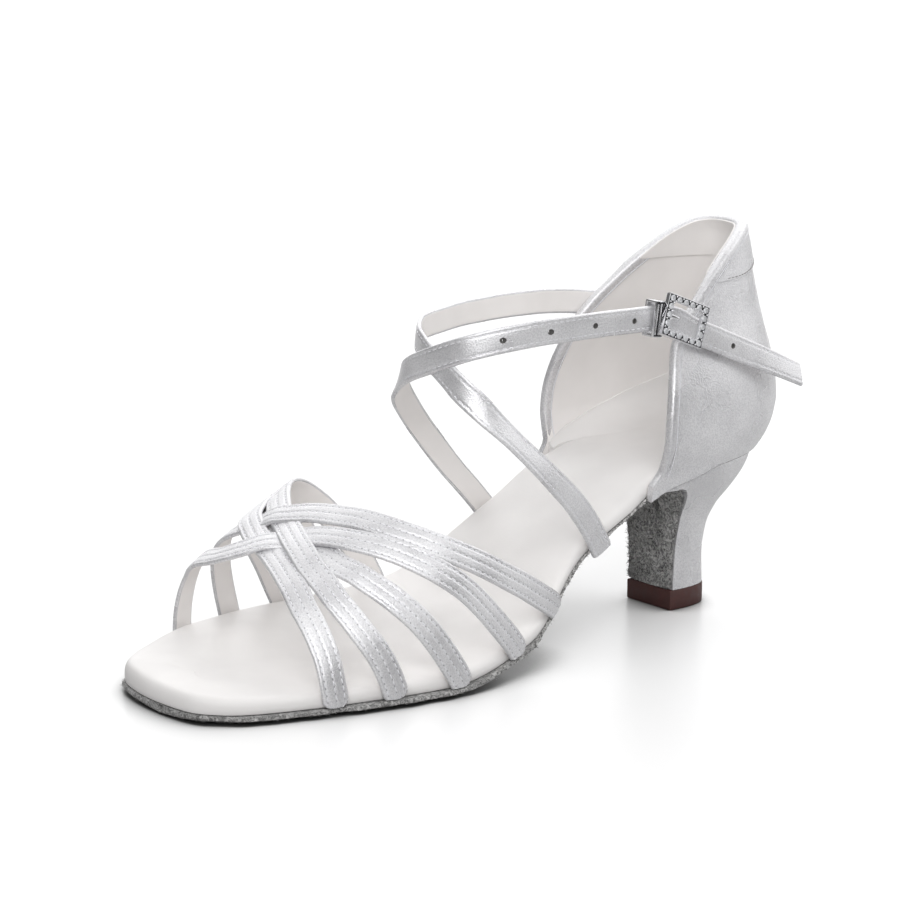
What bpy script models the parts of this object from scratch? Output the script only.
"""Dance sandal for the left foot: suede sole, flared heel, strap upper, heel counter and stone-set buckle.

Lengths and places are in millimetres, with X to the toe, Y to the outer side of the foot and Z up.
MM turns them into metres when a mesh is made.
"""

import bisect
import math

import bmesh
import bpy
from mathutils import Matrix, Vector

MM = 0.001
WELD = 0.02
GAP = 0.3


def slopes(keys, values):
    """Slopes for a smooth curve through a column that never swings past its own values."""
    rates = [(values[i + 1] - values[i]) / (keys[i + 1] - keys[i]) for i in range(len(keys) - 1)]
    inner = []
    for before, after in zip(rates, rates[1:]):
        inner.append(2 * before * after / (before + after) if before * after > 0 else 0.0)
    return [rates[0], *inner, rates[-1]]


def table(names, *rows):
    """Keep a table by column name. The first column is the place that the others are read at."""
    keys = [row[0] for row in rows]
    columns = {}
    for number, name in enumerate(names.split()):
        values = [row[number] for row in rows]
        columns[name] = (keys, values, slopes(keys, values))
    return columns


def read(source, name, key):
    """Read one column of a table at any place along it."""
    keys, values, rates = source[name]
    key = min(max(key, keys[0]), keys[-1])
    i = min(bisect.bisect_right(keys, key) - 1, len(keys) - 2)
    step = keys[i + 1] - keys[i]
    t = (key - keys[i]) / step
    start = (1 + 2 * t) * (1 - t) ** 2 * values[i] + t * (1 - t) ** 2 * step * rates[i]
    end = t * t * (3 - 2 * t) * values[i + 1] + t * t * (t - 1) * step * rates[i + 1]
    return start + end


def ease(low, high, value):
    """0 below low, 1 above high and a smooth step between them."""
    t = min(max((value - low) / (high - low), 0.0), 1.0)
    return t * t * (3 - 2 * t)


# Sole: its outline and the height of its underside, from the seat to the toe
SEAT_BACK = 9.4
SOLE_LENGTH = 205.6
SOLE = table(
    "along outer inner under bank pad",
    (0.0, 0.0, 0.0, 43.0, 0.0, 4.0),
    (0.1, 14.5, -14.5, 42.7, 0.0, 4.0),
    (0.2, 21.9, -21.9, 42.2, 0.0, 4.0),
    (0.3, 24.7, -24.9, 39.2, 0.3, 4.0),
    (0.4, 22.6, -23.7, 24.7, 1.2, 4.0),
    (0.5, 34.8, -30.8, 5.3, 2.2, 4.0),
    (0.6, 40.8, -41.9, 0.0, 2.4, 4.0),
    (0.7, 37.4, -37.9, 0.0, 2.4, 4.0),
    (0.8, 32.2, -27.3, 0.1, 1.8, 4.2),
    (0.85, 29.2, -22.0, 0.2, 1.4, 4.4),
    (0.9, 25.0, -15.8, 0.4, 1.0, 4.7),
    (0.95, 19.6, -4.6, 0.5, 0.6, 4.9),
    (1.0, 7.5, 7.5, 0.6, 0.0, 5.0),
)
OUTSOLE_THICK = 2.2


def station(along):
    return SEAT_BACK + SOLE_LENGTH * (1 - math.cos(math.pi * along)) / 2


def along_of(x):
    return math.acos(min(max(1 - 2 * (x - SEAT_BACK) / SOLE_LENGTH, -1.0), 1.0)) / math.pi


def under(x):
    return read(SOLE, "under", along_of(x))


def side_edge(x, side):
    return read(SOLE, side, along_of(x))


def feather(x):
    """Height where the insole, the straps and the counter start, just clear of the outsole."""
    slope = under(x + 0.5) - under(x - 0.5)
    return under(x) + (OUTSOLE_THICK + GAP) * math.sqrt(1 + slope * slope)


# Outsole of suede, which turns down the front of the heel as a flap
OUTSOLE_MARGIN = 1.2
TOE_MARGIN = 0.3
MARGIN_START = 58.0
MARGIN_FULL = 110.0
FLAP_SHARE = 0.3
FLAP_JOIN = 0.322
FLAP_END_ROUND = 0.008
FLAP_HALF_END = 23.4
FLAP_FULL_WIDE = 76.0
FLAP = table(
    "along x z half",
    (0.0, 39.6, 5.9, 8.8),
    (0.22, 39.5, 15.5, 9.0),
    (0.40, 39.6, 23.5, 9.9),
    (0.54, 40.1, 29.5, 11.5),
    (0.64, 41.3, 33.3, 13.4),
    (0.73, 43.7, 36.4, 15.4),
    (0.82, 47.6, 38.2, 18.0),
    (0.91, 52.2, 38.4, 20.8),
    (1.0, station(FLAP_JOIN), under(station(FLAP_JOIN)), FLAP_HALF_END),
)
OUTSOLE_ROUND = 92
TO_MIDDLE = 1e3
OUTSOLE_PROFILE = (
    (TO_MIDDLE, 0.0),
    (6.0, 0.0),
    (0.7, 0.0),
    (0.0, 0.6),
    (0.0, OUTSOLE_THICK),
    (6.0, OUTSOLE_THICK),
    (TO_MIDDLE, OUTSOLE_THICK),
)

# Insole: a padded board with a soft upper edge
INSOLE_THICK = 4.0
INSOLE_ROUND = 84
INSOLE_PROFILE = (
    (TO_MIDDLE, 0.0),
    (0.0, 0.0),
    (0.0, 2.0),
    (0.6, 3.3),
    (2.2, INSOLE_THICK),
    (8.0, INSOLE_THICK),
    (TO_MIDDLE, INSOLE_THICK),
)
TUCK_EASE = 2.5 * GAP
TUCK_FULL = 56.0
TUCK_NONE = 68.0
SPINE_END = 14.0

# Heel and top lift: a row for each level from the lift to the seat
HEEL_LOW = 5.9
HEEL_CURVE = 2.7
HEEL = table(
    "level back front half",
    (0.0, 22.6, 36.9, 9.5),
    (0.25, 23.2, 36.8, 9.9),
    (0.45, 22.2, 36.9, 11.0),
    (0.6, 19.3, 37.3, 12.9),
    (0.72, 15.4, 40.0, 15.9),
    (0.84, 12.2, 44.5, 19.5),
    (0.93, 10.7, 50.5, 22.4),
    (1.0, 9.8, 58.5, 24.4),
)
HEEL_LEVELS = 16
SOLE_ROOM_BELOW = 2.5
LIFT_HIGH = 5.6
LIFT_BACK = 22.3
LIFT_FRONT = 39.8
LIFT_HALF = 9.7
LIFT_EDGE = 0.4
D_ROUND = 44
D_SIDE_SHARE = 36 / D_ROUND
CAP_MIDDLE = 6.0

# Counter: the heel cup's outer form, and its open edge seen from the side
COUNTER_FRONT = 62.0
COUNTER_CURVE = 2.7
COUNTER_WALL = 2.2
COUNTER = table(
    "z back half",
    (38.0, 12.5, 24.8),
    (45.0, 8.6, 25.9),
    (50.0, 4.6, 27.4),
    (55.0, 2.3, 28.3),
    (60.0, 1.1, 28.1),
    (66.0, 1.1, 27.2),
    (72.0, 2.0, 25.6),
    (80.0, 3.9, 22.8),
    (86.0, 5.3, 21.1),
    (92.0, 6.6, 19.8),
    (100.0, 7.9, 17.7),
    (105.0, 8.9, 16.9),
    (111.0, 11.5, 16.1),
)
EDGE = table(
    "step x z",
    (0.0, 60.6, 42.0),
    (0.06, 57.5, 47.0),
    (0.12, 57.3, 53.0),
    (0.19, 56.8, 60.0),
    (0.26, 55.6, 66.5),
    (0.34, 53.6, 73.5),
    (0.42, 50.9, 80.5),
    (0.5, 46.0, 86.7),
    (0.58, 40.0, 92.0),
    (0.66, 34.1, 97.0),
    (0.74, 28.4, 101.2),
    (0.82, 22.1, 105.2),
    (0.91, 15.3, 108.6),
    (1.0, 10.8, 109.8),
)
COUNTER_ROUND = 60
BINDING_WIDE = 3.4
BINDING_STEP = 0.45
BINDING_SLOPE = 0.6
TAB_LOW = 97.5
TAB_HIGH = 98.6
TAB_STEP = 0.8
TAB_TURN = 62.0
TAB_FADE = 6.0
COUNTER_PROFILE = (
    (0.0, 0.0),
    (0.18, 0.0),
    (0.36, 0.0),
    (0.54, 0.0),
    (0.72, 0.0),
    (0.86, 0.0),
    (0.94, 0.0),
    (1.0, 0.5),
    (1.0, 1.0),
    (0.8, 1.0),
    (0.6, 1.0),
    (0.4, 1.0),
    (0.2, 1.0),
    (0.0, 1.0),
    (0.0, 0.0),
)

# Last under the vamp: the line of its ridge, and how full its two sides are
RIDGE = table(
    "x y z",
    (95.0, -5.0, 83.0),
    (105.0, -6.0, 75.0),
    (120.0, -8.0, 65.5),
    (135.0, -9.5, 57.3),
    (145.0, -9.5, 51.2),
    (155.0, -9.5, 45.4),
    (165.0, -9.0, 39.9),
    (175.0, -8.5, 34.9),
    (185.0, -8.0, 29.6),
    (195.0, -6.0, 24.3),
    (205.0, -4.0, 19.0),
)
LAST_FULL = 2.3

# Vamp straps: where each crosses the last, from the outer edge of the sole to the inner one
VAMP_WIDE = 7.5
VAMP_THICK = 1.5
VAMP_STEPS = 34
VAMP = {
    "front_cross": table(
        "step x turn lift",
        (0, 179.5, 0.0, 0.0),
        (1, 180.2, 13.0, 0.0),
        (2, 180.3, 30.0, 0.0),
        (3, 179.8, 46.0, 0.0),
        (4, 177.8, 60.0, 0.0),
        (5, 174.8, 75.0, 0.0),
        (6, 171.0, 90.0, 0.2),
        (7, 166.2, 103.5, 1.3),
        (8, 160.2, 113.0, 0.8),
        (9, 149.5, 128.0, 0.0),
        (10, 138.0, 148.0, 0.0),
        (11, 125.0, 180.0, 0.0),
    ),
    "rear_cross": table(
        "step x turn lift",
        (0, 161.8, 0.0, 0.0),
        (1, 165.5, 14.0, 0.0),
        (2, 169.6, 30.0, 0.0),
        (3, 171.5, 46.0, 0.0),
        (4, 171.2, 60.0, 0.3),
        (5, 168.8, 74.0, 1.3),
        (6, 166.5, 81.0, 1.2),
        (7, 162.3, 91.0, 0.1),
        (8, 156.8, 103.5, 0.0),
        (9, 148.5, 120.0, 0.0),
        (10, 137.5, 138.0, 0.0),
        (11, 125.0, 158.0, 0.0),
        (12, 113.0, 180.0, 0.0),
    ),
    "low_strap": table(
        "step x turn lift",
        (0, 141.0, 0.0, 0.0),
        (1, 146.2, 8.5, 0.0),
        (2, 152.8, 22.2, 0.0),
        (3, 158.0, 34.0, 0.0),
        (4, 162.5, 47.2, 0.0),
        (5, 165.0, 60.0, -0.5),
        (6, 165.8, 74.0, -0.6),
        (7, 164.6, 89.0, -0.6),
        (8, 161.2, 107.0, -0.6),
        (9, 156.6, 127.0, -0.2),
        (10, 151.0, 148.0, 0.0),
        (11, 144.0, 164.0, 0.0),
        (12, 136.8, 180.0, 0.0),
    ),
    "middle_strap": table(
        "step x turn lift",
        (0, 118.2, 0.0, 0.0),
        (1, 127.5, 10.5, 0.0),
        (2, 137.5, 25.0, 0.0),
        (3, 147.5, 41.0, 0.0),
        (4, 156.5, 58.5, 0.0),
        (5, 164.2, 75.5, 0.0),
        (6, 168.4, 80.6, 0.2),
        (7, 173.0, 86.0, 1.3),
        (8, 178.0, 92.0, 0.9),
        (9, 180.0, 105.0, 0.1),
        (10, 178.4, 124.0, 0.0),
        (11, 175.8, 143.0, 0.0),
        (12, 175.8, 161.0, 0.0),
        (13, 175.4, 180.0, 0.0),
    ),
    "rear_strap": table(
        "step x turn lift",
        (0, 99.6, 0.0, 0.0),
        (1, 111.0, 10.0, 0.0),
        (2, 123.8, 21.5, 0.0),
        (3, 138.0, 37.5, 0.0),
        (4, 147.5, 53.5, 0.0),
        (5, 154.2, 70.8, 0.2),
        (6, 159.8, 84.0, 1.2),
        (7, 163.0, 91.0, 1.2),
        (8, 166.4, 100.5, 0.1),
        (9, 168.0, 114.0, 0.0),
        (10, 166.3, 133.0, 0.0),
        (11, 162.0, 155.0, 0.0),
        (12, 155.8, 180.0, 0.0),
    ),
}

# Ankle straps: middle lines from the sole's waist round the instep
ANKLE_WIDE = 7.2
ANKLE_THICK = 1.5
ANKLE_STEPS = 44
ANKLE_MIDDLE_X = 72.0
INSTEP_MIDDLE_Z = 40.0
ANKLE_LOW = 58.0
ANKLE_HIGH = 84.0
INNER_ANKLE = table(
    "step x y z",
    (0, 79.2, 23.9, 28.4),
    (1, 84.0, 25.5, 35.2),
    (2, 91.5, 26.8, 43.6),
    (3, 100.5, 27.0, 52.2),
    (4, 109.3, 24.8, 61.2),
    (5, 116.5, 20.0, 69.7),
    (6, 120.7, 12.5, 76.8),
    (7, 121.4, 4.0, 81.6),
    (8, 118.4, -6.5, 85.4),
    (9, 111.0, -14.5, 87.0),
    (10, 99.5, -20.5, 86.8),
    (11, 86.3, -24.4, 86.9),
    (12, 73.5, -25.0, 87.1),
    (13, 62.7, -24.5, 87.0),
    (14, 52.0, -23.8, 86.2),
    (15, 41.5, -23.1, 84.6),
)
OUTER_ANKLE = table(
    "step x y z",
    (0, 78.6, -24.8, 28.8),
    (1, 83.8, -25.6, 34.5),
    (2, 92.0, -26.2, 43.6),
    (3, 101.2, -25.4, 54.0),
    (4, 110.2, -22.3, 63.8),
    (5, 117.4, -16.3, 71.2),
    (6, 122.0, -7.0, 77.6),
    (7, 122.8, 3.0, 81.8),
    (8, 119.0, 13.5, 86.3),
    (9, 110.1, 20.0, 89.0),
    (10, 97.3, 24.3, 90.5),
    (11, 82.8, 25.6, 90.7),
    (12, 70.5, 25.6, 90.4),
    (13, 61.2, 25.0, 90.0),
    (14, 53.8, 24.5, 88.1),
    (15, 46.9, 24.5, 85.1),
    (16, 38.8, 24.6, 81.6),
    (17, 30.5, 24.7, 78.0),
    (18, 18.5, 24.9, 72.9),
    (19, 6.1, 25.2, 67.3),
)

# Buckle: a stone-set frame over the strap, with a plain loop in front of it
FRAME_MIDDLE = Vector((53.95, 29.35, 89.1))
FRAME_ALONG = Vector((-0.912, 0.11, -0.386))
FRAME_OUT = Vector((0.0, 0.98, 0.17))
FRAME_LONG = 14.4
FRAME_TALL = 12.0
FRAME_THICK = 1.8
FRAME_RIM = 2.5
LOOP_MIDDLE = Vector((61.2, 25.0, 90.0))
LOOP_ALONG = Vector((-0.988, -0.065, -0.136))
LOOP_OUT = Vector((0.0, 1.0, 0.0))
LOOP_LONG = 3.8
LOOP_TALL = 10.2
LOOP_BAR = 1.2
LOOP_EASE = 0.25
HOOK_LONG = 2.6
HOOK_TALL = 1.3
HOOK_THICK = 1.0
HOOK_DROP = 0.3
STONE_WIDE = 1.7
STONE_TOP = 0.9
STONE_HIGH = 0.6
STONE_GAP = 0.05
STONE_SIDES = 8
STONES_LONG = 6
STONES_TALL = 5

# Colours as seen in the photograph, in linear light
SATIN = (0.80, 0.79, 0.82, 1.0)
PADDED = (0.86, 0.85, 0.84, 1.0)
SUEDE = (0.30, 0.30, 0.31, 1.0)
MAROON = (0.055, 0.018, 0.016, 1.0)
SILVER = (0.72, 0.72, 0.74, 1.0)
CLEAR = (0.90, 0.91, 0.93, 1.0)


def clear_scene():
    for obj in list(bpy.data.objects):
        bpy.data.objects.remove(obj, do_unlink=True)


def collection(name):
    group = bpy.data.collections.new(name)
    bpy.context.scene.collection.children.link(group)
    return group


def material(name, colour, roughness, metallic=0.0):
    made = bpy.data.materials.new(name)
    made.use_nodes = True
    shader = made.node_tree.nodes["Principled BSDF"]
    shader.inputs["Base Color"].default_value = colour
    shader.inputs["Roughness"].default_value = roughness
    shader.inputs["Metallic"].default_value = metallic
    made.diffuse_color = colour
    return made


def finish(mesh, name, group, surface=None):
    """Weld a mesh, close its open ends, face it outward and put it in a collection."""
    bmesh.ops.remove_doubles(mesh, verts=mesh.verts, dist=WELD * MM)
    bmesh.ops.dissolve_degenerate(mesh, edges=mesh.edges, dist=WELD * MM)
    open_edges = [edge for edge in mesh.edges if edge.is_boundary]
    if open_edges:
        bmesh.ops.holes_fill(mesh, edges=open_edges, sides=0)
    bmesh.ops.recalc_face_normals(mesh, faces=mesh.faces)
    data = bpy.data.meshes.new(name)
    mesh.to_mesh(data)
    mesh.free()
    obj = bpy.data.objects.new(name, data)
    group.objects.link(obj)
    if surface:
        data.materials.append(surface)
    else:
        obj.hide_render = True
        obj.display_type = "WIRE"
    return obj


def grid_piece(name, place, columns, rows, group, surface=None):
    """Lay out a flat grid and move each of its points by place(column, row)."""
    mesh = bmesh.new()
    bmesh.ops.create_grid(mesh, x_segments=columns, y_segments=rows, size=0.5)
    for vert in mesh.verts:
        column = round((vert.co.x + 0.5) * columns)
        row = round((vert.co.y + 0.5) * rows)
        vert.co = place(column, row) * MM
    return finish(mesh, name, group, surface)


def combine(target, other, operation):
    """Join a second solid to the first, or cut it away."""
    modifier = target.modifiers.new("combine", "BOOLEAN")
    modifier.operation = operation
    modifier.solver = "EXACT"
    modifier.use_self = True
    modifier.object = other
    bpy.context.view_layer.update()
    graph = bpy.context.evaluated_depsgraph_get()
    data = bpy.data.meshes.new_from_object(target.evaluated_get(graph))
    target.modifiers.remove(modifier)
    old = target.data
    target.data = data
    bpy.data.meshes.remove(old)


def merge(pieces, name):
    """Join overlapping solids into one."""
    first, *others = pieces
    for other in others:
        combine(first, other, "UNION")
        bpy.data.objects.remove(other, do_unlink=True)
    first.name = name
    return first


# Sole functions


def seat(x):
    return feather(x) - GAP


def around(column, columns):
    """Place along a closed outline: out along the outer side and back along the inner side."""
    turn = 2 * column / columns
    return (turn, "outer") if turn <= 1 else (2 - turn, "inner")


def inset_point(x, y, middle_x, middle_y, inset):
    """Move an outline point towards the middle line."""
    away = math.hypot(middle_x - x, middle_y - y)
    share = min(1.0, inset / away) if away > 0 else 0.0
    return x + (middle_x - x) * share, y + (middle_y - y) * share


def insole_point(column, row):
    along, side = around(column, INSOLE_ROUND)
    x = station(along)
    y = side_edge(x, side)
    middle_x = min(max(x, SEAT_BACK + SPINE_END), SEAT_BACK + SOLE_LENGTH - SPINE_END)
    middle_y = (side_edge(middle_x, "outer") + side_edge(middle_x, "inner")) / 2
    inset, high = INSOLE_PROFILE[row]
    high *= read(SOLE, "pad", along) / INSOLE_THICK
    tuck = (COUNTER_WALL + TUCK_EASE) * (1 - ease(TUCK_FULL, TUCK_NONE, x))
    x, y = inset_point(x, y, middle_x, middle_y, inset + tuck)
    outer, inner = side_edge(x, "outer"), side_edge(x, "inner")
    inward = min(max((outer - y) / max(outer - inner, 1.0), 0.0), 1.0)
    bank = read(SOLE, "bank", along_of(x)) * inward**1.5 * high / INSOLE_THICK
    return Vector((x, y, feather(x) + high + bank))


def outsole_path(along):
    """Side view of the outsole's open face, and its two edges, from the flap's end to the toe."""
    if along < FLAP_SHARE:
        place = along / FLAP_SHARE
        half = read(FLAP, "half", place)
        end = min(1.0, along / FLAP_END_ROUND)
        half *= (1 - (1 - end) ** 4) ** 0.25
        return read(FLAP, "x", place), read(FLAP, "z", place), half, -half
    place = FLAP_JOIN + (1 - FLAP_JOIN) * (along - FLAP_SHARE) / (1 - FLAP_SHARE)
    x = station(place)
    grow = TOE_MARGIN * ease(SEAT_BACK + SOLE_LENGTH / 2, SEAT_BACK + SOLE_LENGTH, x)
    wide = ease(MARGIN_START, MARGIN_FULL, x) * OUTSOLE_MARGIN * (1 - ((place - 0.5) * 2) ** 8)
    full = ease(station(FLAP_JOIN), FLAP_FULL_WIDE, x)
    outer = FLAP_HALF_END + (read(SOLE, "outer", place) + wide - FLAP_HALF_END) * full
    inner = -FLAP_HALF_END + (read(SOLE, "inner", place) - wide + FLAP_HALF_END) * full
    return x + grow, under(x), outer, inner


def bent(along, y, high):
    """Point of the outsole at a height over its open face."""
    step = 0.002
    x, z, _, _ = outsole_path(along)
    x0, z0, _, _ = outsole_path(max(along - step, 0.0))
    x1, z1, _, _ = outsole_path(min(along + step, 1.0))
    long = math.hypot(x1 - x0, z1 - z0)
    return Vector((x - (z1 - z0) / long * high, y, z + (x1 - x0) / long * high))


def outsole_solid(name, group, surface, grow, profile):
    def place(column, row):
        turn, side = around(column, OUTSOLE_ROUND)
        along = turn**1.5
        _, _, outer, inner = outsole_path(along)
        edge = outer + grow if side == "outer" else inner - grow
        middle = (outer + inner) / 2
        inset, high = profile[row]
        _, y = inset_point(0.0, edge, 0.0, middle, inset)
        return bent(along, y, high)

    return grid_piece(name, place, OUTSOLE_ROUND, len(profile) - 1, group, surface)


# Heel functions


def d_shape(column, columns, back, front, half, curve):
    """Point on a D outline: round at the back and straight across the front."""
    turn = column / columns
    if turn <= D_SIDE_SHARE:
        angle = math.pi * (0.5 - turn / D_SIDE_SHARE)
        depth = abs(math.cos(angle)) ** (2 / curve)
        side = math.copysign(abs(math.sin(angle)) ** (2 / curve), math.sin(angle))
        return front - (front - back) * depth, half * side
    return front, half * (2 * (turn - D_SIDE_SHARE) / (1 - D_SIDE_SHARE) - 1)


def heel_point(column, row):
    level = min(max((row - 1) / HEEL_LEVELS, 0.0), 1.0)
    back, front, half = (read(HEEL, name, level) for name in ("back", "front", "half"))
    x, y = d_shape(column, D_ROUND, back, front, half, HEEL_CURVE)
    if row in (0, HEEL_LEVELS + 2):
        x, y = min(x, front - CAP_MIDDLE), 0.0
    return Vector((x, y, HEEL_LOW + (seat(x) - HEEL_LOW) * level))


def lift_point(column, row):
    inset = LIFT_EDGE if row in (0, 1) else 0.0
    x, y = d_shape(
        column, D_ROUND, LIFT_BACK + inset, LIFT_FRONT - inset, LIFT_HALF - inset, HEEL_CURVE
    )
    if row in (0, 4):
        x, y = min(x, LIFT_FRONT - CAP_MIDDLE), 0.0
    return Vector((x, y, (0.0, 0.0, LIFT_EDGE, LIFT_HIGH, LIFT_HIGH)[row]))


# Counter functions


def counter_form(turn, z):
    """Point of the heel cup's outer form; turn runs from -90 at the inner front to 90 at the outer."""
    angle = math.radians(turn)
    back = read(COUNTER, "back", z)
    depth = abs(math.cos(angle)) ** (2 / COUNTER_CURVE)
    side = math.copysign(abs(math.sin(angle)) ** (2 / COUNTER_CURVE), angle)
    x = COUNTER_FRONT - (COUNTER_FRONT - back) * depth
    return Vector((x, read(COUNTER, "half", z) * side, z))


def counter_turn(x, z):
    depth = (COUNTER_FRONT - x) / (COUNTER_FRONT - read(COUNTER, "back", z))
    return math.degrees(math.acos(min(max(depth, 0.0), 1.0) ** (COUNTER_CURVE / 2)))


def counter_out(turn, z):
    """Direction out of the heel cup's wall."""
    turn_step = counter_form(turn + 0.5, z) - counter_form(turn - 0.5, z)
    z_step = counter_form(turn, z + 0.2) - counter_form(turn, z - 0.2)
    return z_step.cross(turn_step).normalized()


def counter_point(column, row):
    spot = 2 * column / COUNTER_ROUND - 1
    step = 1 - abs(spot)
    edge_z = read(EDGE, "z", step)
    turn = 0.0 if step == 1 else counter_turn(read(EDGE, "x", step), edge_z)
    turn = math.copysign(turn, spot)
    low = feather(counter_form(turn, feather(COUNTER_FRONT)).x)
    low = feather(counter_form(turn, low).x)
    up, through = COUNTER_PROFILE[row]
    z = low + (edge_z - low) * up
    out = counter_out(turn, z)
    raised = 0.0
    if through == 0.0:
        near_edge = 1 - ease(BINDING_WIDE - BINDING_SLOPE, BINDING_WIDE, edge_z - z)
        tab = ease(TAB_LOW, TAB_HIGH, z) * (1 - ease(TAB_TURN - TAB_FADE, TAB_TURN, abs(turn)))
        raised = max(BINDING_STEP * near_edge, TAB_STEP * tab)
    return counter_form(turn, z) + out * (raised - COUNTER_WALL * through)


# Strap functions


def last_point(x, turn):
    """Point on the last; turn runs from 0 at the outer edge of the sole to 180 at the inner edge."""
    angle = math.radians(turn)
    ridge_y = read(RIDGE, "y", x)
    low = feather(x)
    edge = side_edge(x, "outer") + GAP if turn <= 90 else side_edge(x, "inner") - GAP
    y = ridge_y + (edge - ridge_y) * abs(math.cos(angle)) ** (2 / LAST_FULL)
    z = low + (read(RIDGE, "z", x) - low) * abs(math.sin(angle)) ** (2 / LAST_FULL)
    return Vector((x, y, z))


def last_out(x, turn):
    turn = min(max(turn, 1.0), 179.0)
    turn_step = last_point(x, turn + 0.5) - last_point(x, turn - 0.5)
    x_step = last_point(x + 0.5, turn) - last_point(x - 0.5, turn)
    return turn_step.cross(x_step).normalized()


def vamp_place(route, step):
    x = read(route, "x", step)
    turn = read(route, "turn", step)
    out = last_out(x, turn)
    return last_point(x, turn) + out * (read(route, "lift", step) + VAMP_THICK / 2), out


def ankle_place(route, step):
    spot = Vector([read(route, name, step) for name in ("x", "y", "z")])
    high = ease(ANKLE_LOW, ANKLE_HIGH, spot.z)
    low_out = Vector((0.0, spot.y, spot.z - INSTEP_MIDDLE_Z))
    high_out = Vector((max(spot.x - ANKLE_MIDDLE_X, 0.0), spot.y, 0.0))
    if spot.z < INSTEP_MIDDLE_Z:
        low_out.z = 0.0
    return spot, low_out.normalized().lerp(high_out.normalized(), high)


def strap(name, route, place, width, thick, steps, group, surface):
    """A flat strap: a four-cornered section carried along a route."""
    last_step = route["step"][0][-1]

    def corner(column, row):
        step = last_step * column / steps
        spot, out = place(route, step)
        before, _ = place(route, max(step - 0.05, 0.0))
        after, _ = place(route, min(step + 0.05, last_step))
        along = (after - before).normalized()
        across = along.cross(out).normalized()
        out = across.cross(along)
        wide, high = ((-1, -1), (1, -1), (1, 1), (-1, 1), (-1, -1))[row]
        point = spot + across * (wide * width / 2) + out * (high * thick / 2)
        point.z = max(point.z, feather(point.x))
        return point

    return grid_piece(name, corner, steps, 4, group, surface)


# Buckle functions


def buckle_axes(middle, along, out):
    """Axes of a buckle piece: along the strap to the heel, across it, and out of it."""
    along = along.normalized()
    across = out.cross(along).normalized()
    turn = Matrix((along, across, along.cross(across))).transposed().to_4x4()
    return Matrix.Translation(middle * MM) @ turn


def box(name, axes, middle, size, group, surface=None):
    """A block in a buckle piece's own axes."""
    mesh = bmesh.new()
    bmesh.ops.create_cube(mesh, size=1.0)
    bmesh.ops.scale(mesh, vec=Vector(size) * MM, verts=mesh.verts)
    bmesh.ops.translate(mesh, vec=Vector(middle) * MM, verts=mesh.verts)
    bmesh.ops.transform(mesh, matrix=axes, verts=mesh.verts)
    return finish(mesh, name, group, surface)


def stone(name, axes, long, tall, group, surface):
    mesh = bmesh.new()
    bmesh.ops.create_cone(
        mesh,
        cap_ends=True,
        segments=STONE_SIDES,
        radius1=STONE_WIDE / 2 * MM,
        radius2=STONE_TOP / 2 * MM,
        depth=STONE_HIGH * MM,
    )
    out = FRAME_THICK / 2 + STONE_GAP + STONE_HIGH / 2
    bmesh.ops.translate(mesh, vec=Vector((long, tall, out)) * MM, verts=mesh.verts)
    bmesh.ops.transform(mesh, matrix=axes, verts=mesh.verts)
    return finish(mesh, name, group, surface)


def stone_places():
    """Places of the stones round the frame, in order."""
    reach_long = (FRAME_LONG - FRAME_RIM) / 2
    reach_tall = (FRAME_TALL - FRAME_RIM) / 2
    for column in range(STONES_LONG):
        for row in range(STONES_TALL):
            if column in (0, STONES_LONG - 1) or row in (0, STONES_TALL - 1):
                long = reach_long * (2 * column / (STONES_LONG - 1) - 1)
                tall = reach_tall * (2 * row / (STONES_TALL - 1) - 1)
                yield long, tall


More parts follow.
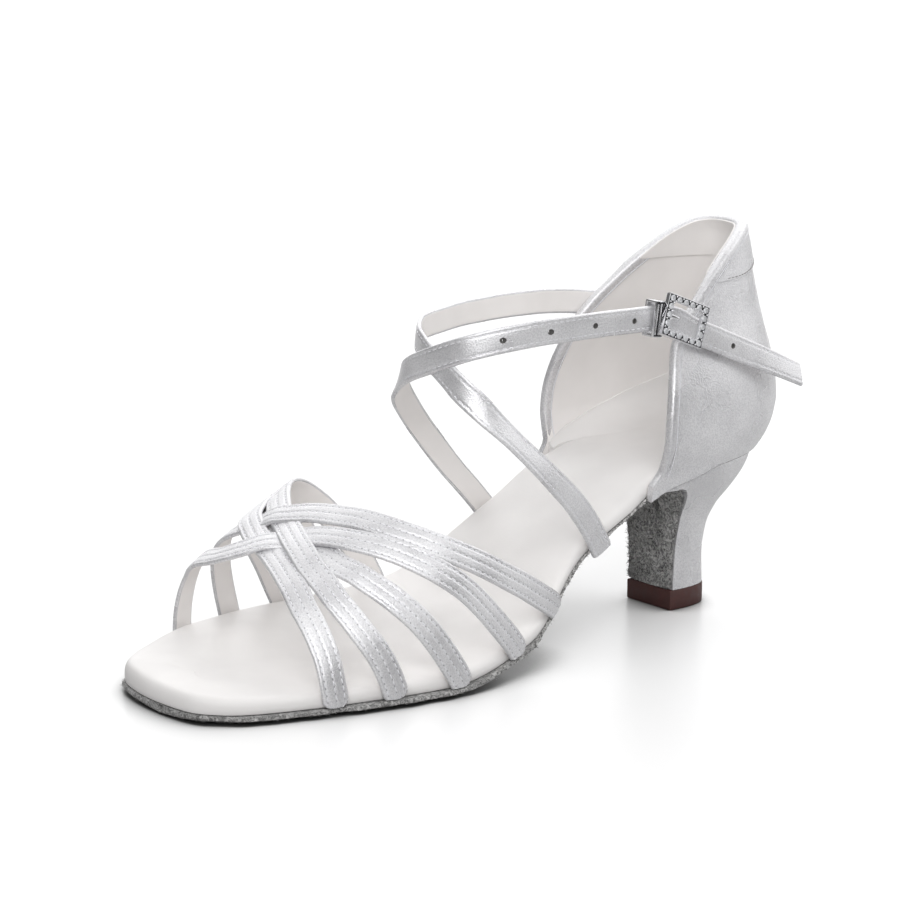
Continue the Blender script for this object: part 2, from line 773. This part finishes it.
def build():
    clear_scene()
    parts = collection("dance_sandal")
    cutters = collection("cutters")
    satin = material("satin", SATIN, 0.35)
    padded = material("padded_insole", PADDED, 0.5)
    suede = material("suede", SUEDE, 0.95)
    maroon = material("top_lift", MAROON, 0.6)
    silver = material("buckle_metal", SILVER, 0.2, 1.0)
    clear = material("stone", CLEAR, 0.05)

    grid_piece("insole", insole_point, INSOLE_ROUND, len(INSOLE_PROFILE) - 1, parts, padded)
    outsole_solid("outsole", parts, suede, 0.0, OUTSOLE_PROFILE)
    grid_piece("top_lift", lift_point, D_ROUND, 4, parts, maroon)
    grid_piece("counter", counter_point, COUNTER_ROUND, len(COUNTER_PROFILE) - 1, parts, satin)

    heel = grid_piece("heel", heel_point, D_ROUND, HEEL_LEVELS + 2, parts, satin)
    top = OUTSOLE_THICK + GAP
    room = ((TO_MIDDLE, -SOLE_ROOM_BELOW), (0.0, -SOLE_ROOM_BELOW), (0.0, top), (TO_MIDDLE, top))
    sole_room = outsole_solid("sole_room", cutters, None, GAP, room)
    combine(heel, sole_room, "DIFFERENCE")

    vamp = [
        strap(name, route, vamp_place, VAMP_WIDE, VAMP_THICK, VAMP_STEPS, parts, satin)
        for name, route in VAMP.items()
    ]
    merge(vamp, "vamp_straps")
    ankle = [
        strap(name, route, ankle_place, ANKLE_WIDE, ANKLE_THICK, ANKLE_STEPS, parts, satin)
        for name, route in (("inner_ankle", INNER_ANKLE), ("outer_ankle", OUTER_ANKLE))
    ]
    merge(ankle, "ankle_straps")

    axes = buckle_axes(FRAME_MIDDLE, FRAME_ALONG, FRAME_OUT)
    middle = (0.0, 0.0, 0.0)
    size = (FRAME_LONG, FRAME_TALL, FRAME_THICK)
    frame = box("buckle_frame", axes, middle, size, parts, silver)
    opening = (FRAME_LONG - 2 * FRAME_RIM, FRAME_TALL - 2 * FRAME_RIM, 3 * FRAME_THICK)
    combine(frame, box("frame_opening", axes, middle, opening, cutters), "DIFFERENCE")
    hook_middle = ((HOOK_LONG - opening[0]) / 2 - GAP, 0.0, -HOOK_DROP)
    hook = box("hook", axes, hook_middle, (HOOK_LONG, HOOK_TALL, HOOK_THICK), parts, silver)
    merge([frame, hook], "buckle_frame")
    for number, (long, tall) in enumerate(stone_places(), start=1):
        stone(f"stone_{number:02d}", axes, long, tall, parts, clear)

    axes = buckle_axes(LOOP_MIDDLE, LOOP_ALONG, LOOP_OUT)
    room_out = ANKLE_THICK + 2 * LOOP_EASE
    loop_size = (LOOP_LONG, LOOP_TALL, room_out + 2 * LOOP_BAR)
    loop = box("buckle_loop", axes, middle, loop_size, parts, silver)
    room_size = (3 * LOOP_LONG, ANKLE_WIDE + 4 * LOOP_EASE, room_out)
    combine(loop, box("loop_room", axes, middle, room_size, cutters), "DIFFERENCE")
    centre(parts, cutters)


def centre(*groups):
    """Put the middle of the shoe's box over the origin, with its lowest point on the floor."""
    corners = [vert.co for obj in groups[0].objects for vert in obj.data.vertices]
    shift = Vector(
        (
            -(min(c.x for c in corners) + max(c.x for c in corners)) / 2,
            -(min(c.y for c in corners) + max(c.y for c in corners)) / 2,
            -min(c.z for c in corners),
        )
    )
    for group in groups:
        for obj in group.objects:
            obj.data.transform(Matrix.Translation(shift))
    print("moved by", [round(v / MM, 3) for v in shift])


build()
